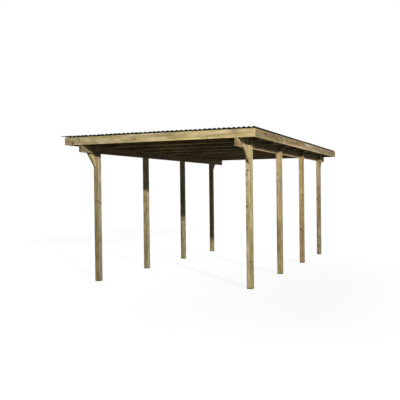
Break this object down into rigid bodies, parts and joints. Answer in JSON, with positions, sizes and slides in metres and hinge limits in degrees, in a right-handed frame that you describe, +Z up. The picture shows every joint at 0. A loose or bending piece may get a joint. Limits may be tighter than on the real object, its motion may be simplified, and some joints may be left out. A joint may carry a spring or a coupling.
{
  "type": "carport",
  "caption": "Open timber carport: two rows of square posts with knee braces carry beams, rafters, fascia boards and a dark corrugated roof.",
  "frame": {"origin": "on the ground under the middle of the whole roof", "axes": "+X across the parking bay to the right as seen from the front, +Y from the front to the rear along the bay, +Z up"},
  "size_m": [3.3004, 6.16, 2.4399],
  "materials": {
    "post_timber": "planed pressure-treated softwood",
    "roof_timber": "planed pressure-treated softwood",
    "roof_sheet": "dark corrugated sheet",
    "fixing_steel": "zinc-plated screws, bolts and sheet fixings"
  },
  "bodies": {
    "root": {"beam_left": "roof_timber", "beam_right": "roof_timber", "brace_front_left": "roof_timber", "brace_front_right": "roof_timber", "brace_rear_left": "roof_timber", "brace_rear_right": "roof_timber", "fascia_front_left": "roof_timber", "fascia_front_middle": "roof_timber", "fascia_front_right": "roof_timber", "fascia_left_1": "roof_timber", "fascia_left_2": "roof_timber", "fascia_left_3": "roof_timber", "fascia_left_4": "roof_timber", "fascia_rear_left": "roof_timber", "fascia_rear_middle": "roof_timber", "fascia_rear_right": "roof_timber", "fascia_right_1": "roof_timber", "fascia_right_2": "roof_timber", "fascia_right_3": "roof_timber", "fascia_right_4": "roof_timber", "post_left_1": "post_timber", "post_left_2": "post_timber", "post_left_3": "post_timber", "post_left_4": "post_timber", "post_right_1": "post_timber", "post_right_2": "post_timber", "post_right_3": "post_timber", "post_right_4": "post_timber", "rafter_1": "roof_timber", "rafter_2": "roof_timber", "rafter_3": "roof_timber", "rafter_4": "roof_timber", "rafter_5": "roof_timber", "rafter_6": "roof_timber", "rafter_7": "roof_timber", "rafter_8": "roof_timber", "rafter_9": "roof_timber", "sheet_front_1": "roof_sheet", "sheet_front_2": "roof_sheet", "sheet_front_3": "roof_sheet", "sheet_front_4": "roof_sheet", "sheet_rear_1": "roof_sheet", "sheet_rear_2": "roof_sheet", "sheet_rear_3": "roof_sheet", "sheet_rear_4": "roof_sheet"}
  },
  "joints": []
}
